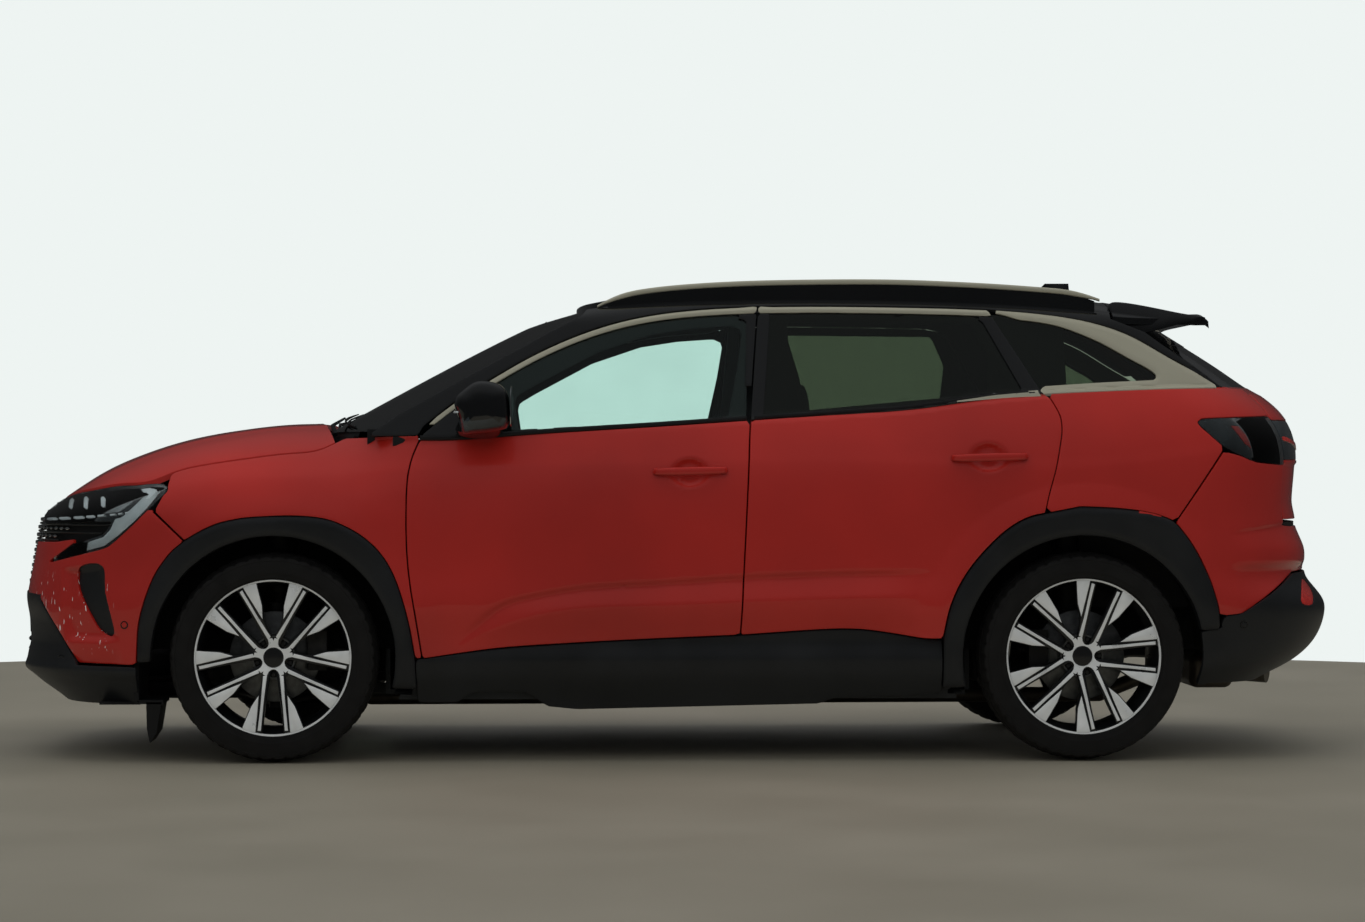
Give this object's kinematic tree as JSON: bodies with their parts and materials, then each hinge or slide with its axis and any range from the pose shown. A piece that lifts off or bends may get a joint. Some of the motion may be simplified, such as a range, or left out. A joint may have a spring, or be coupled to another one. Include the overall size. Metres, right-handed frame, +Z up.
{
  "type": "compact sport utility vehicle",
  "caption": "Five-door compact sport utility vehicle with opening doors, bonnet and tailgate, steered front wheels and a furnished cabin.",
  "frame": {"origin": "on the ground under the middle of the vehicle", "axes": "+X towards the tail, +Z up, the left side is -Y"},
  "size_m": [4.4771, 2.064, 1.618],
  "materials": {
    "red_paint": "metallic gloss",
    "black_paint": "gloss",
    "grey_metal": "satin",
    "charcoal_plastic": "grained",
    "black_plastic": "gloss",
    "clear_glass": "clear",
    "privacy_glass": "dark tint",
    "lamp_clear": "clear",
    "lamp_red": "smoked",
    "cloth": "woven",
    "soft_trim": "grained",
    "tyre": "matte",
    "rim": "machined and black",
    "cast": "rough",
    "steel": "satin",
    "satin_rail": "satin"
  },
  "bodies": {
    "body": {"antenna_fin": "black_paint", "body_hinges": "steel", "body_side_frames": "grey_metal", "centre_console": "soft_trim", "cowl_panel": "charcoal_plastic", "dashboard": "soft_trim", "engine_block": "cast", "engine_undertray": "charcoal_plastic", "exhaust": "steel", "floor_pan": "grey_metal", "front_bumper": "red_paint", "front_fenders": "red_paint", "front_grille": "black_plastic", "front_seats": "cloth", "front_suspension": "steel", "front_wipers": "charcoal_plastic", "fuel_tank": "charcoal_plastic", "headlamps": "lamp_clear", "lower_claddings": "charcoal_plastic", "quarter_glasses": "privacy_glass", "quarter_panels": "red_paint", "rear_bench": "cloth", "rear_bumper": "red_paint", "rear_suspension": "steel", "roof_panel": "black_paint", "roof_rails": "satin_rail", "roof_sides": "black_paint", "tail_lamps": "lamp_red", "wheel_liners": "charcoal_plastic", "windscreen": "clear_glass"},
    "door_front_left": {"door_front_left": "red_paint", "glass_front_left": "clear_glass", "handle_front_left": "red_paint", "mirror_left": "black_paint"},
    "door_front_right": {"door_front_right": "red_paint", "glass_front_right": "clear_glass", "handle_front_right": "red_paint", "mirror_right": "black_paint"},
    "door_rear_left": {"door_rear_left": "red_paint", "glass_rear_left": "privacy_glass", "handle_rear_left": "red_paint"},
    "door_rear_right": {"door_rear_right": "red_paint", "glass_rear_right": "privacy_glass", "handle_rear_right": "red_paint"},
    "bonnet": {"bonnet": "red_paint"},
    "tailgate": {"rear_window": "privacy_glass", "tailgate": "red_paint", "tailgate_lamps": "lamp_red", "tailgate_spoiler": "black_paint"},
    "knuckle_left": {"knuckle_left": "cast"},
    "knuckle_right": {"knuckle_right": "cast"},
    "wheel_front_left": {"rim_front_left": "rim", "tyre_front_left": "tyre"},
    "wheel_front_right": {"rim_front_right": "rim", "tyre_front_right": "tyre"},
    "wheel_rear_left": {"rim_rear_left": "rim", "tyre_rear_left": "tyre"},
    "wheel_rear_right": {"rim_rear_right": "rim", "tyre_rear_right": "tyre"},
    "steering_wheel": {"steering_wheel": "soft_trim"}
  },
  "joints": [
    {"name": "door_front_left_hinge", "type": "hinge", "parent": "body", "child": "door_front_left", "pos_m": [-0.87, -0.878, 0.69], "axis": [0, 0, -1], "range_deg": [0, 68]},
    {"name": "door_front_right_hinge", "type": "hinge", "parent": "body", "child": "door_front_right", "pos_m": [-0.87, 0.878, 0.69], "axis": [0, 0, 1], "range_deg": [0, 68]},
    {"name": "door_rear_left_hinge", "type": "hinge", "parent": "body", "child": "door_rear_left", "pos_m": [0.25, -0.878, 0.69], "axis": [0, 0, -1], "range_deg": [0, 68]},
    {"name": "door_rear_right_hinge", "type": "hinge", "parent": "body", "child": "door_rear_right", "pos_m": [0.25, 0.878, 0.69], "axis": [0, 0, 1], "range_deg": [0, 68]},
    {"name": "bonnet_hinge", "type": "hinge", "parent": "body", "child": "bonnet", "pos_m": [-1.1, 0, 1.018], "axis": [0, 1, 0], "range_deg": [0, 50]},
    {"name": "tailgate_hinge", "type": "hinge", "parent": "body", "child": "tailgate", "pos_m": [1.4, 0, 1.524], "axis": [0, -1, 0], "range_deg": [0, 78]},
    {"name": "steer_left", "type": "hinge", "parent": "body", "child": "knuckle_left", "pos_m": [-1.351, -0.718, 0.345], "axis": [0, 0, 1], "range_deg": [-32, 32]},
    {"name": "steer_right", "type": "hinge", "parent": "body", "child": "knuckle_right", "pos_m": [-1.351, 0.718, 0.345], "axis": [0, 0, 1], "range_deg": [-32, 32]},
    {"name": "steering_wheel_turn", "type": "hinge", "parent": "body", "child": "steering_wheel", "pos_m": [-0.56, -0.37, 0.945], "axis": [0.9063, 0, 0.4226], "range_deg": [-480, 480]},
    {"name": "wheel_front_left_spin", "type": "hinge", "parent": "knuckle_left", "child": "wheel_front_left", "pos_m": [-1.351, -0.78, 0.345], "axis": [0, 1, 0], "continuous": true},
    {"name": "wheel_front_right_spin", "type": "hinge", "parent": "knuckle_right", "child": "wheel_front_right", "pos_m": [-1.351, 0.78, 0.345], "axis": [0, 1, 0], "continuous": true},
    {"name": "wheel_rear_left_spin", "type": "hinge", "parent": "body", "child": "wheel_rear_left", "pos_m": [1.316, -0.78, 0.345], "axis": [0, 1, 0], "continuous": true},
    {"name": "wheel_rear_right_spin", "type": "hinge", "parent": "body", "child": "wheel_rear_right", "pos_m": [1.316, 0.78, 0.345], "axis": [0, 1, 0], "continuous": true}
  ],
  "couplings": [
    {"joint": "steer_right", "follows": "steer_left", "ratio": 1},
    {"joint": "steering_wheel_turn", "follows": "steer_left", "ratio": 15}
  ]
}
